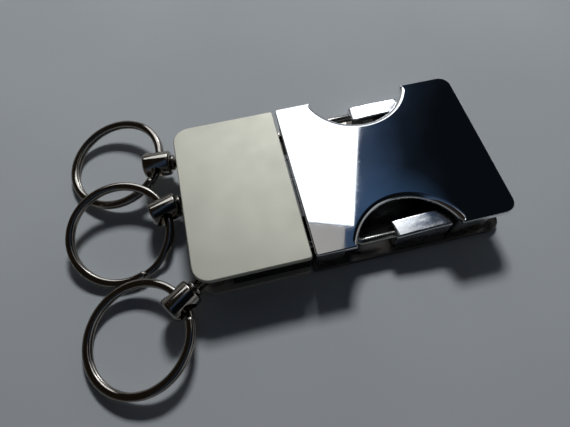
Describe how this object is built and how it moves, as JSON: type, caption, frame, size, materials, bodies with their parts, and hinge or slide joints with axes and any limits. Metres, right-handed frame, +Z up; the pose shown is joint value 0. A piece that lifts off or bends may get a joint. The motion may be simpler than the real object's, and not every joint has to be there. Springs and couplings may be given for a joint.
{
  "type": "keychain bottle opener",
  "caption": "Pull-apart key holder with a satin key end, polished housing, squeeze latches, swivelling split rings and a hidden cap lifter.",
  "frame": {"origin": "middle of the flat underside of the two halves together, on the face that rests on a table", "axes": "+X from the ring end to the polished end, +Y across to the far long side, +Z up through the plates"},
  "size_m": [0.0886, 0.0619, 0.0093],
  "materials": {
    "satin_nickel": "satin",
    "polished_chrome": "mirror polish",
    "dark_core": "blackened satin",
    "steel": "machined",
    "hardware": "turned",
    "spring_steel": "drawn wire",
    "nickel": "nickel plate"
  },
  "bodies": {
    "housing": {"housing_top_plate": "polished_chrome", "housing_bottom_plate": "polished_chrome", "end_block": "steel", "guide_rail_far": "steel", "guide_rail_near": "steel", "leg_spacer_far": "steel", "leg_spacer_near": "steel", "lever_pins": "hardware", "housing_screws": "hardware", "return_spring_far": "spring_steel", "return_spring_near": "spring_steel"},
    "key_half": {"key_top_plate": "satin_nickel", "key_core": "dark_core", "key_bottom_plate": "satin_nickel", "opener_tongue": "steel", "key_screws": "hardware", "swivel_pins": "hardware"},
    "button_far": {"button_far": "polished_chrome", "latch_arm_far": "spring_steel"},
    "button_near": {"button_near": "polished_chrome", "latch_arm_near": "spring_steel"},
    "stud_1": {"stud_1": "nickel"},
    "barrel_1": {"barrel_1": "nickel"},
    "split_ring_1": {"split_ring_1": "nickel"},
    "stud_2": {"stud_2": "nickel"},
    "barrel_2": {"barrel_2": "nickel"},
    "split_ring_2": {"split_ring_2": "nickel"},
    "stud_3": {"stud_3": "nickel"},
    "barrel_3": {"barrel_3": "nickel"},
    "split_ring_3": {"split_ring_3": "nickel"}
  },
  "joints": [
    {"name": "pull_apart", "type": "slide", "parent": "housing", "child": "key_half", "axis": [-1, 0, 0], "range_m": [0, 0.04], "deforming": ["latch_arm_far", "latch_arm_near"]},
    {"name": "button_far_press", "type": "hinge", "parent": "housing", "child": "button_far", "pos_m": [0.0227, 0.0136, 0.0045], "axis": [0, 0, 1], "range_deg": [0, 3.5], "stiffness_Nm_per_rad": 0.02, "springref_deg": -1.15, "deforming": ["return_spring_far"]},
    {"name": "button_near_press", "type": "hinge", "parent": "housing", "child": "button_near", "pos_m": [0.0227, -0.0136, 0.0045], "axis": [0, 0, -1], "range_deg": [0, 3.5], "stiffness_Nm_per_rad": 0.02, "springref_deg": -1.15, "deforming": ["return_spring_near"]},
    {"name": "swing_1", "type": "hinge", "parent": "key_half", "child": "stud_1", "pos_m": [-0.0282, 0.01235, 0.0045], "axis": [0, 0, 1], "range_deg": [-60, 1]},
    {"name": "spin_1", "type": "hinge", "parent": "stud_1", "child": "barrel_1", "pos_m": [-0.0282, 0.01235, 0.0045], "axis": [-0.9954, 0.0958, 0], "range_deg": [-150, 0]},
    {"name": "turn_1", "type": "hinge", "parent": "barrel_1", "child": "split_ring_1", "pos_m": [-0.0457, 0.01685, 0.00287], "axis": [-0.1768, -0.0523, 0.9828], "continuous": true},
    {"name": "swing_2", "type": "hinge", "parent": "key_half", "child": "stud_2", "pos_m": [-0.0282, 0.00365, 0.0045], "axis": [0, 0, 1], "range_deg": [-1, 0.5]},
    {"name": "spin_2", "type": "hinge", "parent": "stud_2", "child": "barrel_2", "pos_m": [-0.0282, 0.00365, 0.0045], "axis": [-0.9613, -0.2756, 0], "range_deg": [-120, 0]},
    {"name": "turn_2", "type": "hinge", "parent": "barrel_2", "child": "split_ring_2", "pos_m": [-0.0459, -0.00116, 0.00325], "axis": [-0.017, -0.2164, 0.9761], "continuous": true},
    {"name": "swing_3", "type": "hinge", "parent": "key_half", "child": "stud_3", "pos_m": [-0.0282, -0.01425, 0.0045], "axis": [0, 0, 1], "range_deg": [0, 60]},
    {"name": "spin_3", "type": "hinge", "parent": "stud_3", "child": "barrel_3", "pos_m": [-0.0282, -0.01425, 0.0045], "axis": [-0.8387, -0.5446, 0], "continuous": true},
    {"name": "turn_3", "type": "hinge", "parent": "barrel_3", "child": "split_ring_3", "pos_m": [-0.044, -0.02295, 0.00264], "axis": [-0.1633, -0.0175, 0.9864], "continuous": true}
  ]
}
